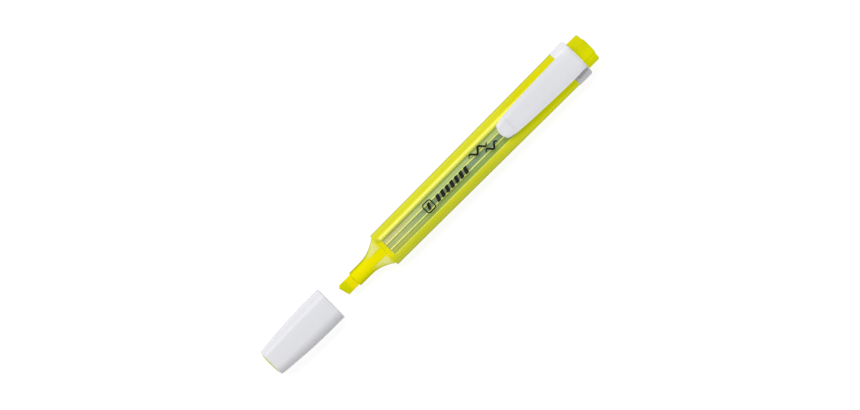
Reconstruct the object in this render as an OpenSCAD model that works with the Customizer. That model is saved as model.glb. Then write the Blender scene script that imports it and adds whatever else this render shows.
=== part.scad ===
// Flat pocket highlighter with a broad pocket clip, lying on its back with the cap pulled off in line.
// Millimetres. +X runs from the nib to the rear plug and +Z is up through the clip. Lengths are counted
// from the barrel's front shoulder, and the whole set is then centred on the origin, standing on z = 0.

/* [Barrel] */
// Length of the barrel from its front shoulder to the clip collar
barrel_len = 90.2; // [75:0.1:112]
// Width of the barrel at its front shoulder
barrel_front_w = 14; // [12.8:0.1:17]
// Width of the barrel where it enters the collar
barrel_rear_w = 15.1; // [14:0.1:18.2]
// Height of the barrel from its back to its front face
barrel_h = 11; // [10.2:0.1:13.4]
// Radius of the barrel's four long corners
corner_r = 4; // [3.4:0.1:4.5]
// Thickness of the barrel wall
barrel_wall = 1.3; // [1.1:0.02:1.56]
// Height of the inner ribs that hold the reservoir
rib_h = 0.6; // [0.4:0.05:0.8]
// Width of one inner rib
rib_w = 0.5; // [0.4:0.05:0.8]
// Distance from one rib to the next
rib_pitch = 2.4; // [2:0.05:2.8]
// Offset of each set of ribs from the barrel's middle line
rib_offset = -0.4; // [-0.6:0.05:0.6]
// Radius of the bevel round the front shoulder
shoulder_bevel = 0.35; // [0.2:0.05:0.5]

/* [Collar and clip] */
// Length of the collar along the pen
collar_len = 6.5; // [5.4:0.1:8]
// How far the collar stands proud of the barrel's sides and front face
collar_proud = 0.25; // [0.15:0.05:0.4]
// Depth of the step in the barrel's rear end that the collar sits on
seat_step = 0.6; // [0.5:0.05:0.75]
// Thickness of the collar's rear web
collar_web = 1.2; // [0.9:0.1:1.6]
// Length of the clip in front of the collar
clip_len = 31.5; // [26:0.1:40]
// Width of the clip at its root
clip_root_w = 9.9; // [8.3:0.1:11.9]
// Length over which the clip's blunt nose is rounded off
clip_nose_len = 1.4; // [1:0.1:2.5]
// Thickness of the clip
clip_t = 1.5; // [1.2:0.05:2]
// Gap between the clip and the barrel
clip_gap = 1.1; // [0.9:0.05:1.6]
// Gap under the grip bead near the clip's nose
bead_gap = 0.2; // [0.15:0.05:0.4]

/* [Nib and its holder] */
// Width of the nib
nib_w = 4.8; // [4:0.05:5.8]
// Thickness of the nib
nib_t = 3.4; // [2.8:0.05:4.1]
// How far the nib stands out of its holder
nib_out = 6.2; // [5:0.1:7.5]
// Slant of the nib's writing edge, in degrees
nib_slant = 16; // [10:1:30]
// Length of the bevel that thins the nib to its writing edge
nib_bevel_len = 3.3; // [2.5:0.1:4]
// Thickness of the writing edge
nib_edge_t = 1.1; // [0.8:0.05:1.4]
// Diameter of the nib's round shank
shank_d = 3.4; // [2.8:0.05:4]
// Depth of the shank in the reservoir
shank_depth = 5.7; // [4.5:0.1:7]
// Wall of the holder's neck beside the nib
neck_wall = 0.6; // [0.5:0.02:0.72]
// Length of the straight neck
neck_len = 5.3; // [4.5:0.1:6.5]
// Length of the flared cone behind the neck
cone_len = 9.2; // [7.6:0.1:11]
// Wall of the cone
cone_wall = 1; // [0.8:0.05:1.2]
// Length of the spigot that enters the barrel
spigot_len = 1.8; // [1.5:0.1:2.2]
// Length of the two side tongues behind the spigot
tongue_len = 4; // [3:0.1:5]
// Thickness of a side tongue
tongue_t = 0.7; // [0.55:0.05:0.8]

/* [Reservoir] */
// Thickness of the film round the fibre core
film_t = 0.2; // [0.15:0.01:0.25]
// Distance from the core to the plug, which the plug's fins bridge
fin_len = 3; // [2:0.1:5]

/* [Rear plug] */
// How far the plug's side lobes stand out of the collar
plug_out = 5.2; // [4.3:0.1:6.5]
// How much longer the plug's middle block is than its lobes
plug_dome = 0.6; // [0.4:0.05:0.8]
// Width of the plug's middle block
plug_mid_w = 7; // [5.8:0.1:8.4]
// How much the middle block is raised above and below the lobes
plug_raise = 0.4; // [0.3:0.05:0.5]
// Depth of the plug in the barrel
plug_depth = 19; // [15:0.5:23]
// Wall of the plug's hollow front end
plug_wall = 1; // [0.8:0.05:1.2]

/* [Cap] */
// Length of the cap without its end button
cap_len = 30; // [27:0.1:36]
// Length of the cap's straight part behind its mouth
cap_straight = 6.8; // [5:0.1:8.2]
// Width of the cap at its closed end
cap_end_w = 10.9; // [10.4:0.1:12.5]
// Radius of the cap's long corners at its closed end
cap_end_r = 2.9; // [2.4:0.1:3.4]
// Thickness of the cap's wall
cap_wall = 1; // [0.85:0.05:1.2]
// Thickness of the cap's lip at its mouth
lip_t = 0.52; // [0.48:0.02:0.64]
// Depth over which the lip thickens to the full wall
lip_depth = 4; // [3:0.1:5]
// Thickness of the cap's closed end
cap_end_wall = 1.2; // [1:0.05:1.5]
// Distance from the nib to the cap's mouth when the cap is off
cap_off_gap = 5.6; // [4:0.1:20]

/* [Inner cap] */
// Wall of the seal sleeve that closes round the neck
sleeve_wall = 0.65; // [0.54:0.01:0.78]
// Thickness of the flange that seats on the cap's closed end
flange_t = 1; // [0.8:0.05:1.3]
// Width of the end button
button_w = 8.3; // [7:0.1:8.6]
// Height of the end button
button_h = 6.2; // [5.2:0.1:6.8]
// How far the end button stands out of the cap
button_out = 0.5; // [0.3:0.05:0.7]

/* [Clearances] */
// Between pieces that are pressed or snapped together
fit = 0.03; // [0.02:0.01:0.05]
// Between the seal sleeve and the neck
seal_gap = 0.06; // [0.03:0.01:0.09]
// Between faces that meet when the cap is on, and round the clip's root
slack = 0.12; // [0.1:0.01:0.2]
// Between the cap's mouth and what it goes over
mouth_gap = 0.1; // [0.08:0.01:0.2]

/* [Hidden] */
$fn = 64;

corner_steps = 12;    // facets on each corner of a soft-cornered section
cone_steps = 56;      // facets round the cone
cone_rings = 10;      // rings along the cone
cap_rings = 12;       // rings along the cap's curved part
cove_power = 2.05;    // how the cone's flare grows from the neck to the shoulder
cone_square = 3.2;    // squareness of the cone's base: 2 is an ellipse
taper_power = 1.8;    // how the cap narrows towards its closed end
clip_flare = 0.14;    // how the clip widens from its nose to its root
bead_in = 5;          // distance from the clip's nose to its grip bead
mouth_under_w = 0.3;  // how much narrower the cap's mouth is than the barrel's shoulder
mouth_under_h = 0.2;  // how much lower the cap's mouth is than the barrel
plug_under = 0.7;     // how much smaller the plug's outer end is than the inside of the cap's mouth
nib_corner_cut = 0.9; // how far the nib's leading corner is cut back across the nib
over = 1;             // how far a cut runs past the solid it cuts

axis_z = barrel_h / 2;
inner_h = barrel_h - 2 * barrel_wall;
inner_r = corner_r - barrel_wall;
rear_x = barrel_len + collar_len - collar_web;
collar_end_x = barrel_len + collar_len;
plug_end_x = collar_end_x + plug_out + plug_dome;

nib_corner = 1;    // radius of the nib's long edges
neck_d = nib_w + 2 * neck_wall;
neck_front_x = -cone_len - neck_len;
nib_tip_x = neck_front_x - nib_out;
head_end_x = 1 - cone_len;

mouth_w = barrel_front_w - mouth_under_w;
mouth_h = barrel_h - mouth_under_h;
mouth_r = corner_r - mouth_under_w / 2;
cap_base_w = mouth_w - 2 * lip_t - 2 * mouth_gap;
cap_base_h = mouth_h - 2 * lip_t - 2 * mouth_gap;

narrow_w = min(barrel_front_w, barrel_rear_w);
film_w = narrow_w - 2 * (barrel_wall + tongue_t + 2 * fit);
film_h = inner_h - 2 * rib_h - 2 * fit;
holder_w = min(inner_w(0), inner_w(spigot_len + tongue_len)) - 2 * fit;
core_w = film_w - 2 * film_t;
core_h = film_h - 2 * film_t;
core_x = spigot_len + slack;
core_end_x = rear_x - plug_depth - fin_len;

clip_low_z = barrel_h + clip_gap;
clip_top_z = clip_low_z + clip_t;
hinge_x = barrel_len + fit - clip_t / 2 - slack;
hinge_z = clip_low_z + clip_t / 2;

plug_w = cap_base_w - plug_under;
plug_h = cap_base_h - plug_under - 2 * plug_raise;
plug_r = mouth_r - lip_t - plug_under / 2 - 0.2;

sleeve_r = neck_d / 2 + seal_gap;
sleeve_out_r = sleeve_r + sleeve_wall;
sleeve_mouth_x = -cone_len - 0.7;
closed_mouth_x = -slack;
closed_end_x = closed_mouth_x - cap_len;
cap_end_h = 2 * (sleeve_out_r + cap_wall + fit + 0.1);
cap_travel = closed_mouth_x - nib_tip_x + cap_off_gap;
button_corner = 2.6; // corner radius of the end button

laid_front_x = closed_end_x - button_out - cap_travel;
shift_x = -(laid_front_x + plug_end_x) / 2;

function barrel_w(x) = barrel_front_w + (barrel_rear_w - barrel_front_w) * x / barrel_len;
function inner_w(x) = barrel_w(x) - 2 * barrel_wall;

// How far the cap has narrowed at x: 0 in its straight part, 1 at its closed end
function cap_narrow(x) =
  pow(max(0, closed_mouth_x - cap_straight - x) / (cap_len - cap_straight), taper_power);
function cap_w(x) = mouth_w + (cap_end_w - mouth_w) * cap_narrow(x);
function cap_h(x) = mouth_h + (cap_end_h - mouth_h) * cap_narrow(x);
function cap_r(x) = mouth_r + (cap_end_r - mouth_r) * cap_narrow(x);
function cap_wall_at(x) =
  cap_wall - (cap_wall - lip_t) * max(0, 1 - (closed_mouth_x - x) / lip_depth);

// A soft-cornered rectangle, w wide and h high with corner radius r, standing at x and centred on z
function ring(x, w, h, r, z = axis_z) = [
  for (corner = [0:3], i = [0:corner_steps])
    let (
      a = 90 * (corner + i / corner_steps),
      side_y = (corner == 0 || corner == 3) ? 1 : -1,
      side_z = corner < 2 ? 1 : -1
    )
    [x, side_y * (w / 2 - r) + r * cos(a), z + side_z * (h / 2 - r) + r * sin(a)]
];

// One ring of the cone at x, taken in by a wall: round at the neck and squarer at the shoulder
function cone_ring(x, wall = 0) =
  let (
    grown = pow(min(1, max(0, 1 + x / cone_len)), cove_power),
    base_d = neck_d + 2 * fit,
    half_w = (base_d + (cap_base_w - base_d) * grown) / 2 - wall,
    half_h = (base_d + (cap_base_h - base_d) * grown) / 2 - wall,
    e = 2 / (2 + (cone_square - 2) * grown)
  )
  [
    for (i = [0:cone_steps - 1])
      let (c = cos(360 * i / cone_steps), s = sin(360 * i / cone_steps))
      [x, half_w * sign(c) * pow(abs(c), e), axis_z + half_h * sign(s) * pow(abs(s), e)]
  ];

// One ring of the cap's inside, taken in by a further gap
function cap_inner_ring(x, gap = 0) =
  let (wall = cap_wall_at(x) + gap)
  ring(x, cap_w(x) - 2 * wall, cap_h(x) - 2 * wall, cap_r(x) - wall);

// A solid through rings that all have the same number of points, listed towards +X
module loft(rings) {
  n = len(rings[0]);
  last = len(rings) - 1;
  polyhedron(
    points = [for (one = rings) each one],
    faces = [
      [for (i = [0:n - 1]) i],
      [for (i = [n - 1:-1:0]) last * n + i],
      for (k = [0:last - 1], i = [0:n - 1])
        [k * n + i, (k + 1) * n + i, (k + 1) * n + (i + 1) % n],
      for (k = [0:last - 1], i = [0:n - 1])
        [k * n + i, (k + 1) * n + (i + 1) % n, k * n + (i + 1) % n]
    ]
  );
}

// A straight bar of soft-cornered section from one x to another
module soft_bar(from_x, to_x, w, h, r, z = axis_z) {
  loft([ring(from_x, w, h, r, z), ring(to_x, w, h, r, z)]);
}

// A round bar on the pen's axis, which may taper
module round_bar(from_x, to_x, from_r, to_r) {
  translate([from_x, 0, axis_z])
    rotate([0, 90, 0])
      cylinder(h = to_x - from_x, r1 = from_r, r2 = to_r);
}

// A block centred on y = 0 between two x and two z
module block(from_x, to_x, w, low_z, high_z) {
  translate([from_x, -w / 2, low_z])
    cube([to_x - from_x, w, high_z - low_z]);
}

// An outline in x and z drawn out to a width across the pen
module across(w) {
  translate([0, w / 2, 0])
    rotate([90, 0, 0])
      linear_extrude(w)
        children();
}

// The laid-out place of everything: the set is centred on the origin
module laid_out() {
  translate([shift_x, 0, 0])
    children();
}

// The cap's pieces are drawn closed and then pulled off in line
module pulled_off() {
  laid_out()
    translate([-cap_travel, 0, 0])
      children();
}

module barrel_outside() {
  loft([
    ring(0, barrel_w(0) - 2 * shoulder_bevel, barrel_h - 2 * shoulder_bevel, corner_r - shoulder_bevel),
    ring(shoulder_bevel, barrel_w(shoulder_bevel), barrel_h, corner_r),
    ring(barrel_len, barrel_rear_w, barrel_h, corner_r)
  ]);
  soft_bar(barrel_len - over, rear_x, barrel_rear_w - 2 * seat_step, barrel_h - 2 * seat_step,
    corner_r - seat_step);
}

module barrel_inside() {
  loft([
    ring(-over, inner_w(-over), inner_h, inner_r),
    ring(rear_x + over, inner_w(rear_x + over), inner_h, inner_r)
  ]);
}

// Ribs on the inside of the front and back walls, which hold the reservoir off them
module barrel_ribs() {
  rib_end_x = rear_x - plug_depth - 0.2;
  root = 0.3;
  for (i = [-1.5:1:1.5])
    translate([0, i * rib_pitch + rib_offset, 0]) {
      block(core_x, rib_end_x, rib_w, barrel_wall - root, barrel_wall + rib_h);
      block(core_x, rib_end_x, rib_w, barrel_h - barrel_wall - rib_h, barrel_h - barrel_wall + root);
    }
}

module barrel() {
  color("gold", 0.6)
    laid_out() {
      difference() {
        barrel_outside();
        barrel_inside();
      }
      barrel_ribs();
    }
}

module holder_shell() {
  difference() {
    union() {
      loft([for (k = [0:cone_rings]) cone_ring(-cone_len * (1 - k / cone_rings))]);
      soft_bar(-0.4, spigot_len, holder_w, inner_h - 2 * fit, inner_r - fit);
    }
    loft([for (k = [0:6]) cone_ring(-cone_len * (0.5 - 0.5 * k / 6), cone_wall)]);
    soft_bar(-0.2, spigot_len + over, holder_w - 2 * cone_wall, inner_h - 2 * (fit + cone_wall),
      inner_r - cone_wall);
  }
}

// The tube that guides the shank, held to the shell by four webs
module shank_guide() {
  guide_r = shank_d / 2 + 0.7;
  round_bar(-cone_len * 0.6, spigot_len, guide_r, guide_r);
  intersection() {
    union() {
      block(-cone_len * 0.35, spigot_len, inner_w(0), axis_z - 0.3, axis_z + 0.3);
      block(-cone_len * 0.35, spigot_len, 0.6, 0, barrel_h);
    }
    loft([
      cone_ring(-cone_len * 0.4, cone_wall / 2),
      cone_ring(-cone_len * 0.2, cone_wall / 2),
      cone_ring(-0.1, cone_wall),
      cone_ring(spigot_len, cone_wall)
    ]);
  }
}

// Two springy tongues that reach from the reservoir's film to the barrel's side walls
module side_tongues() {
  difference() {
    block(spigot_len - cone_wall, spigot_len + tongue_len, holder_w, axis_z - 1.5, axis_z + 1.5);
    block(-over, spigot_len + tongue_len + over, film_w + 2 * fit, 0, barrel_h);
  }
}

module nib_holder() {
  color("yellow", 0.8)
    laid_out()
      difference() {
        union() {
          holder_shell();
          shank_guide();
          side_tongues();
          round_bar(neck_front_x, neck_front_x + 0.4, neck_d / 2 - 0.35, neck_d / 2);
          round_bar(neck_front_x + 0.4, 1 - cone_len, neck_d / 2, neck_d / 2);
        }
        soft_bar(neck_front_x - over, head_end_x + fit, nib_w + 2 * fit, nib_t + 2 * fit, nib_corner + fit);
        round_bar(head_end_x - over, spigot_len + over, shank_d / 2 + fit, shank_d / 2 + fit);
      }
}

// What the slanted writing edge takes off the nib's front, seen from above
module slant_cut() {
  half = nib_w / 2 + over;
  corner_y = nib_w / 2 - nib_corner_cut;
  translate([nib_tip_x, 0, 0])
    linear_extrude(barrel_h)
      polygon([
        [-over, half],
        [(half - corner_y) * 0.9, half],
        [0, corner_y],
        [(half + corner_y) * tan(nib_slant), -half],
        [-over, -half]
      ]);
}

// The bevels above and below that thin the nib to its edge
module bevel_cuts() {
  drop = (nib_t - nib_edge_t) / 2;
  for (side = [-1, 1])
    translate([nib_tip_x, 0, axis_z])
      across(nib_w + 2 * over)
        polygon([
          [-over, side * (nib_edge_t / 2 - over * drop / nib_bevel_len)],
          [nib_bevel_len, side * nib_t / 2],
          [nib_bevel_len, side * (nib_t / 2 + over)],
          [-over, side * (nib_t / 2 + over)]
        ]);
}

module chisel_nib() {
  // The shank's end tapers over its last millimetre
  taper_x = core_x + shank_depth - 1;
  color("yellow")
    laid_out() {
      difference() {
        soft_bar(nib_tip_x, head_end_x, nib_w, nib_t, nib_corner);
        slant_cut();
        bevel_cuts();
      }
      round_bar(head_end_x - 0.5, taper_x, shank_d / 2, shank_d / 2);
      round_bar(taper_x - 0.2, core_x + shank_depth, shank_d / 2 - 0.05, shank_d / 4);
    }
}

module reservoir_core() {
  color("khaki")
    laid_out()
      difference() {
        soft_bar(core_x, core_end_x, core_w, core_h, core_h / 2 - 0.2);
        round_bar(core_x - over, core_x + shank_depth + fit, shank_d / 2 + fit, shank_d / 2 + fit);
      }
}

module reservoir_film() {
  color("darkseagreen", 0.5)
    laid_out()
      difference() {
        soft_bar(core_x, core_end_x, film_w, film_h, film_h / 2 - 0.2);
        soft_bar(core_x - over, core_end_x + over, core_w + fit, core_h + fit, core_h / 2 - 0.2);
      }
}

// The plug's outer end, which may be grown by a gap: first its two side lobes
module plug_lobes(from_x, gap) {
  end_x = collar_end_x + plug_out;
  bevel = 0.4;
  w = plug_w + 2 * gap;
  h = plug_h + 2 * gap;
  r = plug_r + gap;
  loft([
    ring(from_x, w, h, r),
    ring(end_x - bevel, w, h, r),
    ring(end_x, w - 2 * bevel, h - 2 * bevel, r - bevel)
  ]);
}

// The longer, raised block in the middle of the plug's outer end
module plug_middle(from_x, gap) {
  dome_r = 22;
  intersection() {
    soft_bar(from_x, plug_end_x + over, plug_mid_w + 2 * gap, plug_h + 2 * plug_raise + 2 * gap, 0.8);
    translate([plug_end_x - dome_r, 0, 0])
      cylinder(h = barrel_h, r = dome_r, $fn = 128);
  }
}

module plug_body() {
  front_x = rear_x - plug_depth;
  difference() {
    loft([
      ring(front_x, inner_w(front_x) - 2 * fit, inner_h - 2 * fit, inner_r - fit),
      ring(rear_x + fit, inner_w(rear_x) - 2 * fit, inner_h - 2 * fit, inner_r - fit)
    ]);
    soft_bar(front_x - over, rear_x - 1.5, inner_w(front_x) - 2 * plug_wall, inner_h - 2 * plug_wall,
      inner_r - plug_wall);
  }
}

// Crossed fins that hold the reservoir forward
module plug_fins() {
  fin_t = 0.8;
  block(core_end_x + fit, rear_x - 1, core_w * 0.8, axis_z - fin_t / 2, axis_z + fin_t / 2);
  block(core_end_x + fit, rear_x - 1, fin_t, axis_z - core_h * 0.4, axis_z + core_h * 0.4);
}

module rear_plug() {
  color("yellow")
    laid_out() {
      plug_body();
      plug_fins();
      plug_lobes(rear_x + fit, 0);
      plug_middle(rear_x + fit, 0);
      round_bar(rear_x - 1, rear_x + 1, plug_h * 0.4, plug_h * 0.4);
    }
}

// The block on the collar that the clip grows from, with a round rear edge
module clip_root() {
  edge_r = 1.4;
  front_x = barrel_len + fit;
  across(clip_root_w)
    polygon([
      [front_x, barrel_h],
      [collar_end_x, barrel_h],
      for (a = [0:10:90])
        [collar_end_x - edge_r + edge_r * cos(a), clip_top_z - edge_r + edge_r * sin(a)],
      [front_x, clip_top_z]
    ]);
}

module clip_collar() {
  w = barrel_rear_w + 2 * collar_proud;
  h = barrel_h + collar_proud;
  r = corner_r + collar_proud;
  bevel = 0.8;
  color("white")
    laid_out()
      difference() {
        union() {
          loft([
            ring(barrel_len + fit, w, h, r, h / 2),
            ring(collar_end_x - bevel, w, h, r, h / 2),
            ring(collar_end_x, w - 2 * bevel, h - bevel, r - bevel, (h - bevel) / 2)
          ]);
          clip_root();
        }
        soft_bar(barrel_len - over, rear_x + fit, barrel_rear_w - 2 * (seat_step - fit),
          barrel_h - 2 * (seat_step - fit), corner_r - seat_step + fit);
        plug_lobes(rear_x - over, fit);
        plug_middle(rear_x - over, fit);
      }
}

// Half the clip's width at a distance from its nose, which is blunt and then flares slowly to the root
function clip_half_w(d) =
  clip_root_w / 2 * pow(d / clip_len, clip_flare) * sqrt(1 - pow(max(0, 1 - d / clip_nose_len), 2));

// The clip seen from above
module clip_plan() {
  nose_x = hinge_x - clip_len;
  stops = [
    for (a = [18:18:90]) clip_nose_len * (1 - cos(a)),
    for (k = [1:8]) clip_nose_len + (clip_len - clip_nose_len) * pow(k / 8, 1.5)
  ];
  translate([0, 0, clip_low_z])
    linear_extrude(clip_t)
      polygon([
        [nose_x, 0],
        for (d = stops) [nose_x + d, -clip_half_w(d)],
        for (i = [len(stops) - 1:-1:0]) [nose_x + stops[i], clip_half_w(stops[i])]
      ]);
}

module pocket_clip() {
  bead_r = 1.2;
  color("white")
    laid_out() {
      clip_plan();
      translate([hinge_x, 0, hinge_z])
        rotate([90, 0, 0])
          cylinder(h = clip_root_w, r = clip_t / 2, center = true);
      translate([hinge_x - clip_len + bead_in, 0, barrel_h + bead_gap + bead_r])
        rotate([90, 0, 0])
          cylinder(h = 1.25 * clip_half_w(bead_in), r = bead_r, center = true);
    }
}

module cap_shell() {
  bevel = 0.5;
  end_w = cap_w(closed_end_x);
  end_h = cap_h(closed_end_x);
  end_r = cap_r(closed_end_x);
  inner_end_x = closed_end_x + cap_end_wall;
  curved_x = closed_mouth_x - cap_straight;
  color("white")
    pulled_off()
      difference() {
        loft([
          ring(closed_end_x, end_w - 2 * bevel, end_h - 2 * bevel, end_r - bevel),
          for (k = [0:cap_rings])
            let (x = closed_end_x + bevel + (curved_x - closed_end_x - bevel) * k / cap_rings)
            ring(x, cap_w(x), cap_h(x), cap_r(x)),
          ring(closed_mouth_x, mouth_w, mouth_h, mouth_r)
        ]);
        loft([
          for (k = [0:cap_rings])
            cap_inner_ring(inner_end_x + (curved_x - inner_end_x) * k / cap_rings),
          cap_inner_ring(closed_mouth_x - lip_depth),
          cap_inner_ring(closed_mouth_x),
          cap_inner_ring(closed_mouth_x + over)
        ]);
        soft_bar(closed_end_x - over, inner_end_x + over, button_w + 2 * fit, button_h + 2 * fit,
          button_corner + fit);
      }
}

module inner_cap() {
  flange_x = closed_end_x + cap_end_wall + fit;
  sleeve_x = flange_x + flange_t;
  lead = 0.5;
  bevel = 0.25;
  button_end_x = closed_end_x - button_out;
  color("yellow")
    pulled_off()
      difference() {
        union() {
          loft([
            ring(button_end_x, button_w - 2 * bevel, button_h - 2 * bevel, button_corner - bevel),
            ring(button_end_x + bevel, button_w, button_h, button_corner),
            ring(flange_x + 0.1, button_w, button_h, button_corner)
          ]);
          loft([cap_inner_ring(flange_x, fit), cap_inner_ring(sleeve_x, fit + 0.06)]);
          round_bar(sleeve_x - 0.1, sleeve_mouth_x, sleeve_out_r, sleeve_out_r);
          intersection() {
            block(sleeve_x - 0.1, sleeve_x + 10, cap_end_w, axis_z - 0.4, axis_z + 0.4);
            loft([cap_inner_ring(sleeve_x - 0.1, fit + 0.1), cap_inner_ring(sleeve_x + 10, fit + 0.1)]);
          }
        }
        round_bar(sleeve_x, sleeve_mouth_x + over, sleeve_r, sleeve_r);
        round_bar(sleeve_mouth_x - lead, sleeve_mouth_x + 0.01, sleeve_r, sleeve_r + lead * 0.6);
      }
}

barrel();
nib_holder();
chisel_nib();
reservoir_core();
reservoir_film();
rear_plug();
clip_collar();
pocket_clip();
cap_shell();
inner_cap();
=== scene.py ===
"""A flat pocket highlighter that lies with its clip up and its cap pulled off in line, round the CAD frame.

+X runs from the nib to the rear plug and +Z is up through the clip. Everything is in metres.
"""

import math
from collections import namedtuple

import bmesh
import bpy
from mathutils import Matrix, Vector


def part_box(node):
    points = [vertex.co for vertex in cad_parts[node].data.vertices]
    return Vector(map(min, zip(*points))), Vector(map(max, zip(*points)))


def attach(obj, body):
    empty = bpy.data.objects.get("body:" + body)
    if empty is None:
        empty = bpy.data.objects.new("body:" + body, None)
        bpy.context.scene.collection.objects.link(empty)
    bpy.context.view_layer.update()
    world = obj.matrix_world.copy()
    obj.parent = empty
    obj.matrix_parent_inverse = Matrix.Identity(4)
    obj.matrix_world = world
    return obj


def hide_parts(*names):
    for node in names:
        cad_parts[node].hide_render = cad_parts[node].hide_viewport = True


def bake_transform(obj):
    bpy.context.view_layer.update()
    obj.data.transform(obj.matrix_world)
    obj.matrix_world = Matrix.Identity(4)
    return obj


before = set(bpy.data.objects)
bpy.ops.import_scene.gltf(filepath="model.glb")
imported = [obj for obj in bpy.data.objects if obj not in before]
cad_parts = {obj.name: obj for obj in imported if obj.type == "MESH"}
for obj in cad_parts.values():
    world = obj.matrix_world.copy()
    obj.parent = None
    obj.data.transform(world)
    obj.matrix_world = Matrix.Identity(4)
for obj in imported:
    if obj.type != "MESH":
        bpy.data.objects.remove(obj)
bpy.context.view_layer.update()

# ---------------------------------------------------------------- sizes

MM = 0.001
CORNER_STEPS = 12
EASE_STEPS = 4

BARREL_LOW, BARREL_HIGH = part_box("barrel")
COLLAR_LOW, COLLAR_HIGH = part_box("clip_collar")
CLIP_LOW, CLIP_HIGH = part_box("pocket_clip")
HOLDER_LOW, HOLDER_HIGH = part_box("nib_holder")
NIB_LOW, NIB_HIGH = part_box("chisel_nib")
PLUG_LOW, PLUG_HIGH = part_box("rear_plug")
CORE_LOW, CORE_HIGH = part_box("reservoir_core")
FILM_LOW, FILM_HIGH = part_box("reservoir_film")
CAP_LOW, CAP_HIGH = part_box("cap_shell")
SEAL_LOW, SEAL_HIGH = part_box("inner_cap")

BARREL_H = BARREL_HIGH.z - BARREL_LOW.z
AXIS_Z = BARREL_LOW.z + BARREL_H / 2
FRONT_X = BARREL_LOW.x
REAR_X = BARREL_HIGH.x
COLLAR_X = COLLAR_LOW.x
BARREL_FRONT_W = 14.0 * MM
BARREL_LIP_IN = 0.15 * MM
BARREL_REAR_W = 2 * BARREL_HIGH.y
CORNER_R = 4.0 * MM
WALL = 1.3 * MM
SEAT_STEP = 0.6 * MM
COLLAR_PROUD = 0.25 * MM
RIB_W = 0.5 * MM
RIB_H = 0.6 * MM
RIB_PITCH = 2.4 * MM
RIB_OFFSET = -0.4 * MM
RIB_COUNT = 4
FIT = 0.03 * MM

NECK_D = 6.0 * MM
NECK_LEN = 5.3 * MM
CONE_POWER = 2.05
SPIGOT_LEN = 1.8 * MM
SPIGOT_GAP = 0.06 * MM
TONGUE_LEN = 4.0 * MM
TONGUE_ROOT = 1.0 * MM
TONGUE_H = 3.0 * MM
NIB_HEAD_X = FRONT_X - 8.2 * MM
NIB_SLANT = math.radians(16)
NIB_CORNER_CUT = 0.9 * MM
NIB_EDGE_T = 1.1 * MM
NIB_BEVEL_LEN = 3.3 * MM
SHANK_D = 3.4 * MM
SHANK_ROOT = 0.5 * MM

PLUG_WALL = 1.0 * MM
PLUG_MID_W = 7.0 * MM
PLUG_RAISE = 0.4 * MM
PLUG_MID_R = 0.9 * MM
PLUG_MID_EASE = 0.55 * MM
PLUG_DOME = 0.6 * MM
PLUG_STUB_W = 11.76 * MM
PLUG_STUB_R = 2.78 * MM
PLUG_STUB_EASE = 0.7 * MM
PLUG_SKIRT_STEP = 1.5 * MM
FIN_LEN = 2.97 * MM
FIN_T = 0.8 * MM

CLIP_T = 1.5 * MM
CLIP_ROOT_W = 2 * CLIP_HIGH.y
CLIP_ROOT_X = CLIP_HIGH.x - CLIP_T / 2
CLIP_NOSE_LEN = 1.4 * MM
CLIP_NOSE_DROP = 0.25 * MM
CLIP_CROWN = 0.16 * MM
CLIP_FLARE = 0.14
ROOT_ROUND_LEN = 1.4 * MM
ROOT_ROUND_DROP = 0.6 * MM
BEAD_IN = 5.0 * MM
BEAD_R = 1.2 * MM
BEAD_SHARE = 0.62

CAP_WALL = 1.0 * MM
CAP_LIP = 0.52 * MM
CAP_LIP_DEPTH = 4.0 * MM
CAP_STRAIGHT = 6.8 * MM
CAP_END_W = 10.9 * MM
CAP_END_H = 9.68 * MM
CAP_END_WALL = 1.2 * MM
CAP_MOUTH_R = 3.85 * MM
CAP_END_R = 2.9 * MM
CAP_TAPER_POWER = 1.8
CAP_MOUTH_EASE = 0.2 * MM
CAP_END_EASE = 0.6 * MM
CAP_RINGS = 14
BUTTON_W = 8.3 * MM
BUTTON_H = 6.2 * MM
BUTTON_R = 2.6 * MM
SEAL_BORE_R = 3.06 * MM
SEAL_WALL = 0.65 * MM
FLANGE_T = 1.0 * MM
SEAL_FIN_LEN = 10 * MM
SEAL_FIN_T = 0.8 * MM
OVERLAP = 0.1 * MM

FRAME_W = 0.3036
CAMERA_DISTANCE = 2.0

Station = namedtuple("Station", "x width height radius")


# ---------------------------------------------------------------- mesh tools


def faces_of(verts):
    """The faces at some vertices, each of them once."""
    return list(dict.fromkeys(face for vert in verts for face in vert.link_faces))


def edges_of(items):
    """The edges at some vertices or round some faces, each of them once."""
    found = (item.link_edges if hasattr(item, "link_edges") else item.edges for item in items)
    return list(dict.fromkeys(edge for edges in found for edge in edges))


def new_verts(made):
    """The vertices that a bmesh operator made."""
    return [item for item in made if isinstance(item, bmesh.types.BMVert)]


def bevel(bm, geom, offset, segments, affect="EDGES"):
    """Rounds edges or corners off."""
    bmesh.ops.bevel(
        bm,
        geom=geom,
        offset=offset,
        segments=segments,
        affect=affect,
        profile=0.5,
        material=-1,
    )


def soft_ring(bm, station):
    """The edges of one soft-cornered outline that stands across the pen."""
    corners = bmesh.ops.create_grid(bm, x_segments=1, y_segments=1, size=1)["verts"]
    for corner in corners:
        y = math.copysign(station.width / 2, corner.co.x)
        z = AXIS_Z + math.copysign(station.height / 2, corner.co.y)
        corner.co = Vector((station.x, y, z))
    before = set(bm.faces) - set(faces_of(corners))
    bevel(bm, corners, station.radius, CORNER_STEPS, affect="VERTICES")
    made = [face for face in bm.faces if face not in before]
    outline = edges_of(made)
    bmesh.ops.delete(bm, geom=made, context="FACES_ONLY")
    return outline


def draw_on(bm, ring):
    """Extrudes a ring of edges, and gives the new ring's vertices and edges."""
    made = bmesh.ops.extrude_edge_only(bm, edges=ring)["geom"]
    verts = new_verts(made)
    found = set(verts)
    edges = [
        item for item in made if isinstance(item, bmesh.types.BMEdge) and set(item.verts) <= found
    ]
    return verts, edges


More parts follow.
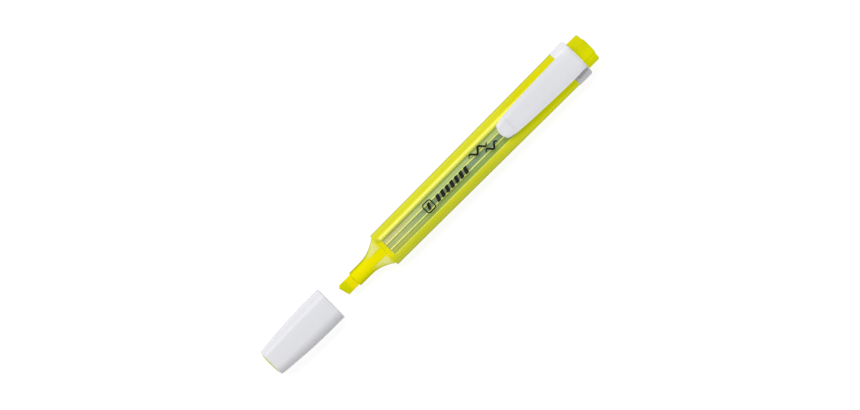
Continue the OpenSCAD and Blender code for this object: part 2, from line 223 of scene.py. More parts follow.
def carry_on(bm, ring, old, new):
    """Draws a ring of edges on from one station to the next, and its corners stay round."""
    verts, edges = draw_on(bm, ring)
    for vert in verts:
        for axis, middle, old_half, new_half in (
            (1, 0.0, old.width / 2, new.width / 2),
            (2, AXIS_Z, old.height / 2, new.height / 2),
        ):
            out = vert.co[axis] - middle
            past_flat = abs(out) - (old_half - old.radius)
            reach = new_half - new.radius + past_flat * new.radius / old.radius
            vert.co[axis] = middle + math.copysign(reach, out)
        vert.co.x = new.x
    return edges


def close_ends(bm, first, last, looped):
    """Joins a bar's first ring to its last one, or puts a face across each."""
    if looped:
        bmesh.ops.bridge_loops(bm, edges=first + last)
    else:
        bmesh.ops.contextual_create(bm, geom=first)
        bmesh.ops.contextual_create(bm, geom=last)


def draw_bar(bm, stations, looped=False):
    """A closed solid through soft-cornered stations.

    A looped one turns back inside itself, as a tube's wall does.
    """
    first = last = soft_ring(bm, stations[0])
    for old, new in zip(stations, stations[1:]):
        last = carry_on(bm, last, old, new)
    close_ends(bm, first, last, looped)


def grown(station, by, x=None):
    """The same section made larger by a wall or gap all round, or smaller by a negative one."""
    return Station(
        station.x if x is None else x,
        station.width + 2 * by,
        station.height + 2 * by,
        station.radius + by,
    )


def eased_end(station, ease, towards):
    """The stations that round the edge off a bar's end, from its side to its end face at station.x."""
    turns = [math.pi / 2 * i / EASE_STEPS for i in range(EASE_STEPS + 1)]
    return [
        grown(
            station,
            ease * (math.cos(turn) - 1),
            station.x - towards * ease * (1 - math.sin(turn)),
        )
        for turn in turns
    ]


def crowned(station, crown, towards, rings=5):
    """The stations that fill a bar's end face with a low dome, ending in a small ring at its top."""
    made = []
    for i in range(1, rings + 1):
        share = 1 - 0.92 * i / rings
        rise = crown * (1 - share * share)
        made.append(
            Station(
                station.x + towards * rise,
                station.width * share,
                station.height * share,
                station.radius * share,
            )
        )
    return made


def draw_block(bm, low, high, ease=0.0):
    """A block between two corners with its edges eased."""
    made = bmesh.ops.create_cube(bm, size=1)["verts"]
    low, high = Vector(low), Vector(high)
    bmesh.ops.scale(bm, verts=made, vec=high - low)
    bmesh.ops.translate(bm, verts=made, vec=(low + high) / 2)
    if ease:
        bevel(bm, edges_of(made), ease, 2)


def draw_tube(bm, low_x, high_x, outer_r, inner_r, segments=64):
    """A round tube, or a round bar if inner_r is 0, on the pen's axis, with its ends eased."""
    ease = min(0.12 * MM, (outer_r - inner_r) / 4)
    turn = Matrix.Translation((0, 0, AXIS_Z)) @ Matrix.Rotation(math.pi / 2, 4, "Y")
    stops = [
        (low_x, outer_r - ease),
        (low_x + ease, outer_r),
        (high_x - ease, outer_r),
        (high_x, outer_r - ease),
    ]
    if inner_r:
        stops += [
            (high_x, inner_r + ease),
            (high_x - ease, inner_r),
            (low_x + ease, inner_r),
            (low_x, inner_r + ease),
        ]
    circle = bmesh.ops.create_circle(bm, segments=segments, radius=stops[0][1], matrix=turn)
    first = last = edges_of(circle["verts"])
    bmesh.ops.translate(bm, verts=circle["verts"], vec=(low_x, 0, 0))
    for (_, old_r), (x, new_r) in zip(stops, stops[1:]):
        verts, last = draw_on(bm, last)
        for vert in verts:
            vert.co.x = x
            vert.co.y *= new_r / old_r
            vert.co.z = AXIS_Z + (vert.co.z - AXIS_Z) * new_r / old_r
    close_ends(bm, first, last, looped=inner_r > 0)


def turn_outward(bm):
    """Turns the faces of each closed part of a mesh outward, so that its volume counts as positive."""
    bmesh.ops.recalc_face_normals(bm, faces=bm.faces)
    left = dict.fromkeys(bm.faces)
    while left:
        part = [left.popitem()[0]]
        for face in part:
            near = [other for edge in face.edges for other in edge.link_faces if other in left]
            for other in dict.fromkeys(near):
                del left[other]
                part.append(other)
        bulk = sum(face.calc_center_median().dot(face.normal) * face.calc_area() for face in part)
        if bulk < 0:
            bmesh.ops.reverse_faces(bm, faces=part)


def finish_piece(name, bm, material, body, replaced=(), crease=32):
    """Makes the mesh an object that rides on a body and stands for CAD nodes."""
    bmesh.ops.remove_doubles(bm, verts=bm.verts, dist=0.0005 * MM)
    turn_outward(bm)
    mesh = bpy.data.meshes.new(name)
    bm.to_mesh(mesh)
    bm.free()
    mesh.shade_smooth()
    mesh.set_sharp_from_angle(angle=math.radians(crease))
    mesh.materials.append(material)
    made = bpy.data.objects.new(name, mesh)
    bpy.context.scene.collection.objects.link(made)
    if body:
        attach(made, body)
    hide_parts(*replaced)
    return made


# ---------------------------------------------------------------- shader tools


class Value:
    """One shader socket, with the arithmetic that its expressions use."""

    def __init__(self, shader, socket):
        self.shader = shader
        self.socket = socket

    def math(self, operation, *others):
        made = self.shader.node("ShaderNodeMath", {"operation": operation}, self, *others)
        return Value(self.shader, made.outputs[0])

    def __add__(self, other):
        return self.math("ADD", other)

    __radd__ = __add__

    def __sub__(self, other):
        return self.math("SUBTRACT", other)

    def __rsub__(self, other):
        return self.math("MULTIPLY", -1.0).math("ADD", other)

    def __mul__(self, other):
        return self.math("MULTIPLY", other)

    __rmul__ = __mul__

    def size(self):
        return self.math("ABSOLUTE")

    def ramp(self, low, high):
        """0 below low and 1 above high, and a soft step between them."""
        made = self.shader.node(
            "ShaderNodeMapRange",
            {"interpolation_type": "SMOOTHSTEP", "clamp": True},
            self,
            low,
            high,
            0.0,
            1.0,
        )
        return Value(self.shader, made.outputs[0])


class Shader:
    """A material's node tree and the few nodes that every finish here needs."""

    def __init__(self, name):
        self.material = bpy.data.materials.new(name)
        self.material.use_nodes = True
        self.tree = self.material.node_tree
        self.tree.nodes.clear()
        self.output = self.tree.nodes.new("ShaderNodeOutputMaterial")
        place = self.node("ShaderNodeTexCoord").outputs["Object"]
        self.place = Value(self, place)
        split = self.node("ShaderNodeSeparateXYZ", {}, self.place)
        self.x, self.y, self.z = (Value(self, output) for output in split.outputs)

    def node(self, kind, settings=None, *values, **named):
        """Any node: its settings first, then its sockets' values or links, by order or by name."""
        made = self.tree.nodes.new(kind)
        for key, setting in (settings or {}).items():
            setattr(made, key, setting)
        for key, value in [*enumerate(values), *named.items()]:
            socket = made.inputs[key.replace("_", " ") if isinstance(key, str) else key]
            source = value.socket if isinstance(value, Value) else value
            if isinstance(source, bpy.types.NodeSocket):
                self.tree.links.new(source, socket)
            elif socket.type == "RGBA":
                socket.default_value = (*source, 1)
            else:
                socket.default_value = source
        return made

    def noise(self, size, stretch=(1, 1, 1), detail=3.0, roughness=0.55):
        """Noise whose patches are about size across, drawn out along an axis by its stretch."""
        scale = [1 / (size * way) for way in stretch]
        mapped = self.node("ShaderNodeMapping", {}, self.place, Scale=scale)
        made = self.node(
            "ShaderNodeTexNoise",
            {},
            Vector=Value(self, mapped.outputs[0]),
            Scale=1.0,
            Detail=detail,
            Roughness=roughness,
        )
        return Value(self, made.outputs[0])

    def mix(self, share, first, second):
        """A colour between two colours."""
        made = self.tree.nodes.new("ShaderNodeMix")
        made.data_type = "RGBA"
        for place, value in ((0, share), (6, first), (7, second)):
            socket = made.inputs[place]
            if isinstance(value, Value):
                self.tree.links.new(value.socket, socket)
            elif isinstance(value, tuple):
                socket.default_value = (*value, 1)
            else:
                socket.default_value = value
        return Value(self, made.outputs[2])

    def drift(self, noise, dark, light, low=0.3):
        """A colour that drifts between two with a noise."""
        return self.mix(noise.ramp(low, 1 - low), dark, light)

    def bump(self, height, depth, strength):
        """A surface's relief, with its depth in metres."""
        made = self.node("ShaderNodeBump", {}, Strength=strength, Distance=depth, Height=height)
        return Value(self, made.outputs[0])

    def principled(self, **named):
        made = self.node("ShaderNodeBsdfPrincipled", {}, **named)
        return Value(self, made.outputs[0])

    def finish(self, surface):
        self.tree.links.new(surface.socket, self.output.inputs["Surface"])
        return self.material


# ---------------------------------------------------------------- finishes

# The painted glow: emission that stands for the fluorescent dye and lifts the plastic's shade. It is full
# over flat plastic and dimmer along the edges, which it leaves as painted shade
PAINTED_GLOW = (0.14, 0.21, 0.0)
PAINTED_EDGE_GLOW = (0.055, 0.08, 0.0)


def mid_height(s, low, high):
    """1 half way down the pen's sides, where plastic is seen edgeways, and 0 at its front and back; the
    finishes paint shade along the sides by it.
    """
    return 1 - (s.z - AXIS_Z).size().ramp(low, high)


def satin_white():
    """White moulded plastic: a fine spark-eroded grain, with smoother patches from handling, and painted
    shade half way down its sides.
    """
    s = Shader("satin_white_plastic")
    grain = s.noise(0.11 * MM, detail=2.0)
    handling = s.noise(7 * MM, (2.5, 1, 1))
    flow = s.noise(14 * MM, (3, 1, 1), detail=1.0)
    clean = s.drift(flow, (0.735, 0.738, 0.775), (0.765, 0.767, 0.80))
    return s.finish(
        s.principled(
            # Painted shade: greyer half way down the sides, along the outline
            Base_Color=s.mix(mid_height(s, 0.8 * MM, 3.4 * MM), clean, (0.57, 0.57, 0.60)),
            Roughness=0.34 + handling * 0.14 + grain * 0.04,
            IOR=1.5,
            Subsurface_Weight=0.08,
            Subsurface_Radius=(0.0012, 0.0012, 0.001),
            Subsurface_Scale=1.0,
            Normal=s.bump(grain, 0.006 * MM, 0.35),
        )
    )


def yellow_moulding():
    """Opaque fluorescent yellow plastic, as the plug and the inner cap are made of, with a painted glow
    that is stronger on its lower side, away from the softbox.
    """
    s = Shader("yellow_plastic")
    grain = s.noise(0.13 * MM, detail=2.0)
    flow = s.noise(5 * MM, (1.5, 1, 1), detail=2.0)
    colour = s.drift(flow, (0.42, 0.375, 0.001), (0.47, 0.405, 0.002))
    return s.finish(
        s.principled(
            Base_Color=colour,
            Roughness=0.36 + flow * 0.12,
            Specular_IOR_Level=0.02,
            # Painted light: the glow is stronger on the lower side, to lift its shade
            Emission_Color=s.mix(s.y.ramp(-4 * MM, 4 * MM), (0.28, 0.34, 0.0), (0.20, 0.25, 0.0)),
            Emission_Strength=1.0,
            Normal=s.bump(grain, 0.006 * MM, 0.4),
        )
    )


def see_through(name, tint, opacity, roughness, polish, painted_glow):
    """Clear plastic tinted with fluorescent yellow, with fine scratches along the pen and a painted glow.
    """
    s = Shader(name)
    scuffs = s.noise(0.2 * MM, (30, 1, 1), detail=2.0)
    wear = s.noise(9 * MM, (2, 1, 1), detail=2.0)
    return s.finish(
        s.principled(
            Base_Color=tint(s, wear),
            Roughness=roughness(s, wear),
            IOR=1.5,
            Specular_IOR_Level=0.0,
            Coat_Weight=polish(s),
            Coat_Roughness=0.16,
            Alpha=opacity(s, wear),
            # Painted glow: emission standing in for fill light and fluorescence
            Emission_Color=painted_glow(s),
            Emission_Strength=1.0,
            Normal=s.bump(scuffs, 0.0015 * MM, 0.05),
        )
    )


def barrel_plastic():
    """The see-through barrel: clear over its flat front and back, deeper in its rounded sides, with a
    painted highlight along its upper corner, painted shade along its outline and a painted glow.
    """

    def rearward(s):
        """0 over the reservoir's front, and 1 at the rear, where the plug's skirt is behind the wall."""
        return (s.x - FRONT_X).ramp(48 * MM, 78 * MM)

    def painted_highlight_band(s):
        """A painted highlight: a pale band along the wall's upper corner, where the softbox's reflection
        falls.
        """
        across = s.y.ramp(2.7 * MM, 3.7 * MM) - s.y.ramp(3.9 * MM, 5.1 * MM)
        return across * (s.x - FRONT_X).ramp(0.8 * MM, 2.4 * MM)

    def tint(s, wear):
        front = s.drift(wear, (0.56, 0.49, 0.022), (0.61, 0.53, 0.03))
        rear = s.drift(wear, (0.46, 0.40, 0.002), (0.50, 0.43, 0.003))
        along = s.mix(rearward(s), front, rear)
        # Painted highlight along the upper corner
        lit = s.mix(painted_highlight_band(s), along, (0.80, 0.71, 0.13))
        # Painted shade: a dark outline half way down the sides, and a darker one on the upper edge
        edge_shaded = s.mix(mid_height(s, 1.2 * MM, 3.3 * MM), lit, (0.20, 0.24, 0.001))
        upper_edge_shade = mid_height(s, 0.8 * MM, 3.2 * MM) * s.y.ramp(0, 2 * MM)
        return s.mix(upper_edge_shade, edge_shaded, (0.10, 0.13, 0.0))

    def opacity(s, wear):
        side = s.y.size().ramp(3.1 * MM, 4.8 * MM)
        # The painted highlight is also made more opaque, so that it shows over the reservoir
        return 0.08 + side * 0.82 + wear * 0.03 + painted_highlight_band(s) * 0.5

    def polish(s):
        return (0.28 - rearward(s) * 0.2) * (1 - mid_height(s, 1.6 * MM, 4.2 * MM))

    def roughness(s, wear):
        return 0.22 + wear * 0.08

    def painted_glow(s):
        # Painted glow: stronger on the lower side towards the rear, and dimmer along the outline as painted
        # shade
        rear = s.mix(s.y.ramp(-5 * MM, 5 * MM), (0.30, 0.35, 0.0), (0.21, 0.25, 0.0))
        deep = s.mix(rearward(s), PAINTED_GLOW, rear)
        return s.mix(mid_height(s, 1.2 * MM, 3.4 * MM), deep, PAINTED_EDGE_GLOW)

    return see_through("clear_yellow_barrel", tint, opacity, roughness, polish, painted_glow)


def holder_plastic():
    """Clear plastic of the nib holder: pale in its cone, and deep where the wet nib is behind it, with
    painted light on the cone's lower side, painted shade along its outline and a painted glow.
    """

    def deep(s):
        """1 at the neck, over the nib's shank and at the spigot, and 0 at the cone's sides."""
        reach = s.x - FRONT_X
        cone = reach.ramp(-8.4 * MM, -4.6 * MM) - reach.ramp(-1.4 * MM, 0.2 * MM)
        return 1 - cone * s.y.size().ramp(1.1 * MM, 2.0 * MM)

    def tint(s, wear):
        upper = s.drift(wear, (0.68, 0.58, 0.004), (0.73, 0.62, 0.008))
        # Painted light: the cone's lower side is painted paler than its upper side
        pale = s.mix(s.y.ramp(-3 * MM, 1 * MM), (0.80, 0.69, 0.002), upper)
        wet = s.drift(wear, (0.71, 0.575, 0.001), (0.77, 0.61, 0.002))
        along = s.mix(deep(s), pale, wet)
        # Painted shade along the outline, darker on the upper edge than on the lower
        outline = s.mix(s.y.ramp(-2 * MM, 2 * MM), (0.62, 0.58, 0.003), (0.36, 0.35, 0.003))
        return s.mix(mid_height(s, 0.8 * MM, 2.8 * MM), along, outline)

    def opacity(s, wear):
        edge = mid_height(s, 1.0 * MM, 3.4 * MM) * (1 - deep(s))
        return 0.5 + deep(s) * 0.45 + edge * 0.4 + wear * 0.03

    def roughness(s, wear):
        return 0.14 + deep(s) * 0.3 + wear * 0.06

    def polish(s):
        return 0.35 - deep(s) * 0.35

    def painted_glow(s):
        # Painted glow, dimmer along the outline
        return s.mix(mid_height(s, 0.8 * MM, 2.4 * MM), PAINTED_GLOW, PAINTED_EDGE_GLOW)

    return see_through("clear_yellow_holder", tint, opacity, roughness, polish, painted_glow)


def rib_plastic():
    """The barrel's inner ribs, painted pale and given a glow as a painted highlight, so that they show as
    lines of light.
    """
    s = Shader("ribs_painted_highlight")
    flow = s.noise(3 * MM, (6, 1, 1), detail=2.0)
    colour = s.drift(flow, (0.84, 0.84, 0.26), (0.94, 0.92, 0.36), 0.35)
    return s.finish(
        s.principled(
            Base_Color=colour,
            Roughness=0.25 + flow * 0.1,
            Alpha=0.55,
            # Painted glow
            Emission_Color=(0.8, 0.85, 0.3),
            Emission_Strength=0.22,
        )
    )


def nib_fibre():
    """Pressed fibre soaked with ink: fine strands, darker and greener towards the writing edge, with a
    faint painted glow.
    """
    s = Shader("nib_fibre")
    strands = s.noise(0.09 * MM, (14, 1, 1), detail=4.0, roughness=0.7)
    pores = s.noise(0.22 * MM, detail=3.0)
    # Darker and greener over the last few millimetres before the writing edge
    wet = (1 - (s.x - NIB_LOW.x).ramp(2.4 * MM, 4.4 * MM)) * 0.75
    dry = s.drift(strands, (0.74, 0.62, 0.001), (0.82, 0.70, 0.003), 0.35)
    tip_colour = s.drift(strands, (0.50, 0.54, 0.001), (0.62, 0.64, 0.002), 0.35)
    return s.finish(
        s.principled(
            Base_Color=s.mix(wet + pores * 0.2 - 0.1, dry, tip_colour),
            Roughness=0.62 + pores * 0.3,
            Specular_IOR_Level=0.02,
            # Painted glow
            Emission_Color=PAINTED_GLOW,
            Emission_Strength=0.3,
            Normal=s.bump(strands + pores * 0.6, 0.03 * MM, 0.6),
        )
    )


def reservoir_fibre():
    """The bundle of fibres that holds the ink."""
    s = Shader("reservoir_fibre")
    strands = s.noise(0.12 * MM, (40, 1, 1), detail=3.0)
    ink = s.noise(6 * MM, (3, 1, 1), detail=2.0)
    dry = s.drift(strands, (0.50, 0.52, 0.20), (0.66, 0.66, 0.30))
    return s.finish(
        s.principled(
            Base_Color=s.mix(ink.ramp(0.35, 0.7) * 0.6, dry, (0.62, 0.62, 0.05)),
            Roughness=0.8 + strands * 0.15,
            Normal=s.bump(strands, 0.04 * MM, 0.6),
        )
    )


def reservoir_skin():
    """The grey-green film round the fibres, cloudier in streaks along the pen, with painted light and shade
    across it: paler on its upper and lower sides and darker in the middle.
    """
    s = Shader("reservoir_skin")
    streaks = s.noise(0.5 * MM, (60, 1, 1), detail=3.0)
    cloud = streaks.ramp(0.3, 0.7)
    along = (s.x - FRONT_X).ramp(6 * MM, 26 * MM)

    def clouded(near_dark, near_light, far_dark, far_light):
        return s.mix(along, s.mix(cloud, near_dark, near_light), s.mix(cloud, far_dark, far_light))

    middle = clouded((0.32, 0.39, 0.22), (0.41, 0.47, 0.27), (0.10, 0.23, 0.24), (0.16, 0.31, 0.29))
    upper = clouded((0.49, 0.50, 0.32), (0.60, 0.59, 0.40), (0.36, 0.51, 0.28), (0.47, 0.60, 0.36))
    lower = clouded((0.38, 0.44, 0.17), (0.48, 0.53, 0.21), (0.23, 0.40, 0.20), (0.32, 0.49, 0.27))
    # Painted light and shade: paler bands on the upper and lower sides, a darker one in the middle
    colour = s.mix(s.y.ramp(0.5 * MM, 1.5 * MM), middle, upper)
    return s.finish(
        s.principled(
            Base_Color=s.mix((0 - s.y).ramp(1.3 * MM, 2.1 * MM), colour, lower),
            Roughness=0.45 + streaks * 0.2,
            Specular_IOR_Level=0.25,
        )
    )


def print_ink():
    """Black pad-printed ink with tiny pinholes of gloss."""
    s = Shader("black_print")
    specks = s.noise(0.12 * MM, detail=3.0)
    colour = s.mix(specks.ramp(0.55, 0.8), (0.004, 0.004, 0.003), (0.02, 0.024, 0.008))
    return s.finish(
        s.principled(Base_Color=colour, Roughness=0.45 + specks * 0.25, Specular_IOR_Level=0.2)
    )


# ---------------------------------------------------------------- barrel and what it holds


def barrel_width(x):
    """The barrel's width at x, which grows evenly up to the collar."""
    share = (x - FRONT_X) / (COLLAR_X - FIT - FRONT_X)
    return BARREL_FRONT_W + (BARREL_REAR_W - BARREL_FRONT_W) * min(1.0, share)


def barrel_section(x, by=0.0):
    """The barrel's outside section at x, grown by a wall or gap."""
    return grown(Station(x, barrel_width(x), BARREL_H, CORNER_R), by)


def make_barrel():
    """The shell, open at both ends, with a step turned down for the collar."""
    seat_x = COLLAR_X - FIT
    lip = eased_end(barrel_section(FRONT_X), 0.35 * MM, -1)
    stations = [
        barrel_section(FRONT_X + BARREL_LIP_IN, -WALL),
        barrel_section(FRONT_X, BARREL_LIP_IN - WALL),
        *reversed(lip),
        *[barrel_section(FRONT_X + (seat_x - FRONT_X) * i / 8) for i in range(1, 9)],
        barrel_section(seat_x, -SEAT_STEP),
        barrel_section(REAR_X, -SEAT_STEP),
        barrel_section(REAR_X, -WALL),
    ]
    bm = bmesh.new()
    draw_bar(bm, stations, looped=True)
    return finish_piece(
        "barrel_shell", bm, barrel_plastic(), "pen", ["barrel"]
    )


def make_ribs():
    """Four ribs inside the front wall and four inside the back wall."""
    low_x, high_x = CORE_LOW.x, PLUG_LOW.x + FIN_LEN - 0.2 * MM
    root = 0.02 * MM
    front_z, back_z = BARREL_HIGH.z - WALL, BARREL_LOW.z + WALL
    bm = bmesh.new()
    for i in range(RIB_COUNT):
        y = (i - (RIB_COUNT - 1) / 2) * RIB_PITCH + RIB_OFFSET
        for low_z, high_z in ((back_z - root, back_z + RIB_H), (front_z - RIB_H, front_z + root)):
            low = (low_x, y - RIB_W / 2, low_z)
            high = (high_x, y + RIB_W / 2, high_z)
            draw_block(bm, low, high, 0.1 * MM)
    return finish_piece("barrel_ribs", bm, rib_plastic(), "pen")


def reservoir_section(low, high, x):
    """A section of the reservoir, whose sides are nearly round."""
    height = high.z - low.z
    return Station(x, high.y - low.y, height, height / 2 - 0.2 * MM)


def make_reservoir():
    """The fibre core, and the thin film round it that turns in a little at its ends."""
    bm = bmesh.new()
    near = reservoir_section(CORE_LOW, CORE_HIGH, CORE_LOW.x)
    far = reservoir_section(CORE_LOW, CORE_HIGH, CORE_HIGH.x)
    ease = 0.3 * MM
    draw_bar(bm, [*reversed(eased_end(near, ease, -1)), *eased_end(far, ease, 1)])
    finish_piece(
        "reservoir_fibres", bm, reservoir_fibre(), "pen", ["reservoir_core"]
    )
    bm = bmesh.new()
    skin = 0.17 * MM
    near = reservoir_section(FILM_LOW, FILM_HIGH, FILM_LOW.x)
    far = reservoir_section(FILM_LOW, FILM_HIGH, FILM_HIGH.x)
    draw_bar(bm, [grown(near, -skin), near, far, grown(far, -skin)], looped=True)
    finish_piece(
        "reservoir_film_sleeve", bm, reservoir_skin(), "pen", ["reservoir_film"]
    )


# ---------------------------------------------------------------- nib and holder


def cone_section(x):
    """The cone's section at x: round at the neck, and wide and soft-cornered at the shoulder."""
    cone_x = HOLDER_LOW.x + NECK_LEN
    share = max(0.0, min(1.0, (x - cone_x) / (FRONT_X - cone_x))) ** CONE_POWER
    width = NECK_D + (2 * HOLDER_HIGH.y - NECK_D) * share
    height = NECK_D + (HOLDER_HIGH.z - HOLDER_LOW.z - NECK_D) * share
    round_r = NECK_D / 2 - 0.02 * MM
    return Station(x, width, height, round_r + 0.75 * MM * share)


def make_holder():
    """Neck, flared cone and spigot as one clear solid, with the two tongues beside the reservoir."""
    cone_x = HOLDER_LOW.x + NECK_LEN
    spigot = barrel_section(FRONT_X, -WALL - FIT - SPIGOT_GAP)
    rings = 14
    outside = [cone_section(cone_x + (FRONT_X - cone_x) * i / rings) for i in range(rings + 1)]
    neck = cone_section(HOLDER_LOW.x)
    bm = bmesh.new()
    draw_bar(
        bm,
        [
            *reversed(eased_end(neck, 0.4 * MM, -1)),
            *outside,
            spigot,
            spigot._replace(x=FRONT_X + SPIGOT_LEN),
        ],
    )
    for side in (-1, 1):
        out_y = side * (spigot.width / 2)
        in_y = side * (FILM_HIGH.y + FIT)
        low = (FRONT_X + SPIGOT_LEN - TONGUE_ROOT, min(out_y, in_y), AXIS_Z - TONGUE_H / 2)
        high = (FRONT_X + SPIGOT_LEN + TONGUE_LEN, max(out_y, in_y), AXIS_Z + TONGUE_H / 2)
        draw_block(bm, low, high, 0.15 * MM)
    return finish_piece(
        "holder_cone", bm, holder_plastic(), "pen", ["nib_holder"]
    )


def make_nib():
    """A soft-edged fibre block with a slanted, thinned writing edge, and its round shank."""
    width, thick = 2 * NIB_HIGH.y, NIB_HIGH.z - NIB_LOW.z
    tip_x = NIB_LOW.x
    bm = bmesh.new()
    draw_block(bm, (tip_x, -width / 2, NIB_LOW.z), (NIB_HEAD_X, width / 2, NIB_HIGH.z))

    def slice_off(point, outward):
        """Cuts away what lies outward of a plane through a point, and closes the cut."""
        cut = bmesh.ops.bisect_plane(
            bm,
            geom=[*bm.verts, *bm.edges, *bm.faces],
            plane_co=point,
            plane_no=outward,
            clear_outer=True,
        )["geom_cut"]
        rim = [item for item in cut if isinstance(item, bmesh.types.BMEdge)]
        bmesh.ops.contextual_create(bm, geom=rim)

    corner = (tip_x, width / 2 - NIB_CORNER_CUT, 0)
    slice_off(corner, (-math.cos(NIB_SLANT), -math.sin(NIB_SLANT), 0))
    slice_off(corner, (-1, 0.9, 0))
    drop = (thick - NIB_EDGE_T) / 2
    for side in (-1, 1):
        slice_off(
            (tip_x, 0, AXIS_Z + side * NIB_EDGE_T / 2), (-drop, 0, side * NIB_BEVEL_LEN)
        )
    bmesh.ops.bevel(
        bm,
        geom=list(bm.edges),
        offset=0.13 * MM,
        segments=3,
        affect="EDGES",
        profile=0.5,
        material=-1,
        clamp_overlap=True,
    )
    draw_tube(bm, NIB_HEAD_X - SHANK_ROOT, NIB_HIGH.x, SHANK_D / 2, 0, 40)
    return finish_piece("fibre_nib", bm, nib_fibre(), "pen", ["chisel_nib"], 40)


# ---------------------------------------------------------------- rear plug


def make_plug():
    """The stepped outer end with its longer middle, the skirt in the barrel, and the crossed fins."""
    web_x = REAR_X + FIT
    full_h = PLUG_HIGH.z - PLUG_LOW.z
    stub = Station(PLUG_HIGH.x - PLUG_DOME, PLUG_STUB_W, full_h - 2 * PLUG_RAISE, PLUG_STUB_R)
    middle = Station(PLUG_HIGH.x - 0.25 * MM, PLUG_MID_W, full_h, PLUG_MID_R)
    bm = bmesh.new()
    for section, ease, crown in (
        (stub, PLUG_STUB_EASE, 0.15 * MM),
        (middle, PLUG_MID_EASE, 0.25 * MM),
    ):
        draw_bar(
            bm,
            [
                section._replace(x=web_x),
                *eased_end(section, ease, 1),
                *crowned(grown(section, -ease), crown, 1),
            ],
        )
    skirt_x = PLUG_LOW.x + FIN_LEN
    draw_bar(
        bm,
        [
            barrel_section(REAR_X - PLUG_SKIRT_STEP, -WALL - FIT - PLUG_WALL),
            barrel_section(skirt_x, -WALL - FIT - PLUG_WALL),
            barrel_section(skirt_x, -WALL - FIT),
            barrel_section(REAR_X, -WALL - FIT),
        ],
    )
    reach_y, reach_z = CORE_HIGH.y * 0.8, (CORE_HIGH.z - CORE_LOW.z) * 0.4
    for half_y, half_z in ((reach_y, FIN_T / 2), (FIN_T / 2, reach_z)):
        low = (PLUG_LOW.x, -half_y, AXIS_Z - half_z)
        high = (REAR_X - 1 * MM, half_y, AXIS_Z + half_z)
        draw_block(bm, low, high, 0.15 * MM)
    return finish_piece("end_plug", bm, yellow_moulding(), "pen", ["rear_plug"])


# ---------------------------------------------------------------- clip and collar


def clip_half_width(x):
    """Half the clip's width at x: blunt and round at its nose, then a slow flare to the root."""
    gone = x - CLIP_LOW.x
    blunt = max(0.0, 1 - gone / CLIP_NOSE_LEN)
    flare = min(1.0, gone / (CLIP_ROOT_X - CLIP_LOW.x)) ** CLIP_FLARE
    return CLIP_ROOT_W / 2 * flare * math.sqrt(1 - blunt * blunt)


def clip_stops():
    """Places along the clip, closer together round its nose."""
    nose = [CLIP_NOSE_LEN * (1 - math.cos(math.radians(a))) for a in range(6, 91, 6)]
    length = COLLAR_HIGH.x - CLIP_LOW.x
    main = length - CLIP_NOSE_LEN - ROOT_ROUND_LEN
    rest = [CLIP_NOSE_LEN + main * (i / 24) ** 1.5 for i in range(1, 25)]
    turn = [length - ROOT_ROUND_LEN * (1 - i / 4) for i in range(1, 5)]
    return [CLIP_LOW.x + reach for reach in nose + rest + turn]


def draw_clip_slab(bm):
    """The clip's slab, from its round nose to the collar's rear edge, softly crowned on top."""
    stops = clip_stops()
    made = bmesh.ops.create_grid(bm, x_segments=len(stops) - 1, y_segments=8, size=1)["verts"]
    for vert in made:
        x = stops[round((vert.co.x + 1) / 2 * (len(stops) - 1))]
        vert.co = Vector((x, vert.co.y * clip_half_width(x), CLIP_HIGH.z - CLIP_T))
    tops = new_verts(bmesh.ops.extrude_face_region(bm, geom=faces_of(made))["geom"])
    for vert in tops:
        out = abs(vert.co.y) / clip_half_width(vert.co.x)
        towards_nose = max(0.0, 1 - (vert.co.x - CLIP_LOW.x) / (2 * MM))
        past = max(0.0, 1 - (COLLAR_HIGH.x - vert.co.x) / ROOT_ROUND_LEN)
        drop = CLIP_CROWN * out**4 + CLIP_NOSE_DROP * towards_nose**2 + ROOT_ROUND_DROP * past**2
        vert.co.z = CLIP_HIGH.z - drop
    rim = [
        edge
        for edge in edges_of(tops)
        if len(edge.link_faces) == 2
        and edge.calc_face_angle(0) > math.radians(40)
        and all(vert in tops for vert in edge.verts)
    ]
    bevel(bm, rim, 0.35 * MM, 3)


def collar_stations():
    """The sleeve on the barrel's rear end, closed behind by a web that the plug comes through."""
    outer = Station(
        COLLAR_HIGH.x, 2 * COLLAR_HIGH.y, BARREL_H + 2 * COLLAR_PROUD, CORNER_R + COLLAR_PROUD
    )
    seat = barrel_section(REAR_X, FIT - SEAT_STEP)
    hole = Station(
        COLLAR_HIGH.x, PLUG_STUB_W + 2 * FIT, PLUG_HIGH.z - PLUG_LOW.z + 2 * FIT, PLUG_STUB_R
    )
    web_x = REAR_X + FIT
    return [
        seat._replace(x=COLLAR_X),
        grown(outer, -0.1 * MM, COLLAR_X),
        grown(outer, 0, COLLAR_X + 0.1 * MM),
        *eased_end(outer, 0.9 * MM, 1),
        hole,
        hole._replace(x=web_x),
        seat._replace(x=web_x),
    ]


